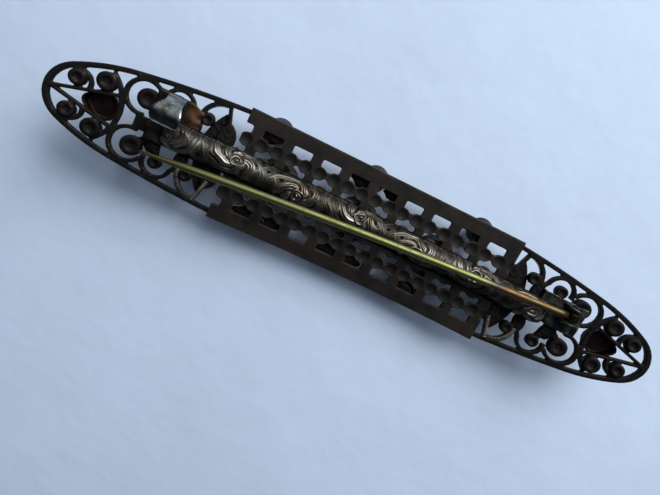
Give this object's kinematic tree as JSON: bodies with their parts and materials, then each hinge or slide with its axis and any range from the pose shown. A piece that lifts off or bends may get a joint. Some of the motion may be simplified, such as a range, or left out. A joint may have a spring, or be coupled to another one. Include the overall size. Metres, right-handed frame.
{
  "type": "filigree bar pin",
  "caption": "Long bowed openwork bar pin seen from its back, with scroll ends, pierced side strips, an embossed bar, a hinged wire pin and a curled catch.",
  "frame": {"origin": "middle of the pin's length and width, at the flat tables of the middle stones that it lies on", "axes": "+X along the length towards the hinge end, +Y towards the catch's closed side, +Z from the stones towards the back and the pin wire"},
  "size_m": [0.095, 0.0186, 0.0122],
  "materials": {
    "blackened_brass": "stamped brass with a near-black patina",
    "brown_gallery": "pierced brass strip with a dull brown patina",
    "blackened_cups": "blackened stone cups",
    "copper_boss": "reddish brown dished boss",
    "tarnished_silver": "silvered brass, embossed, dark in its hollows and worn bright on its ridges",
    "worn_nickel": "nickel silver worn bright",
    "grey_solder": "dull grey, soldered",
    "dark_brass": "darkened brass",
    "bright_brass": "drawn brass wire, greenish yellow",
    "clear_paste": "cut clear glass"
  },
  "bodies": {
    "root": {"back_bar": "tarnished_silver", "catch_hood": "worn_nickel", "hinge_plate": "grey_solder", "large_cup_1": "blackened_cups", "large_cup_2": "blackened_cups", "large_cup_3": "blackened_cups", "large_stone_1": "clear_paste", "large_stone_2": "clear_paste", "large_stone_3": "clear_paste", "left_boss": "copper_boss", "left_end_frame": "blackened_brass", "left_leaf_plate": "blackened_brass", "left_saddle": "blackened_brass", "lower_gallery": "brown_gallery", "right_boss": "copper_boss", "right_end_frame": "blackened_brass", "right_leaf_plate": "blackened_brass", "small_cup_1": "blackened_cups", "small_cup_2": "blackened_cups", "small_cup_3": "blackened_cups", "small_cup_4": "blackened_cups", "small_cup_5": "blackened_cups", "small_cup_6": "blackened_cups", "small_stone_1": "clear_paste", "small_stone_2": "clear_paste", "small_stone_3": "clear_paste", "small_stone_4": "clear_paste", "small_stone_5": "clear_paste", "small_stone_6": "clear_paste", "upper_gallery": "brown_gallery"},
    "rivet": {"hinge_rivet": "grey_solder"},
    "pin": {"pin_knuckle": "dark_brass", "pin_stem": "bright_brass"}
  },
  "joints": [
    {"name": "pin_open", "type": "hinge", "parent": "root", "child": "rivet", "pos_m": [0.0339, 0.002, 0.0094], "axis": [0, 1, 0], "range_deg": [0, 85]},
    {"name": "pin_side", "type": "hinge", "parent": "rivet", "child": "pin", "pos_m": [0.0339, 0.002, 0.0094], "axis": [0, 0, -1], "range_deg": [-1.5, 6]}
  ]
}
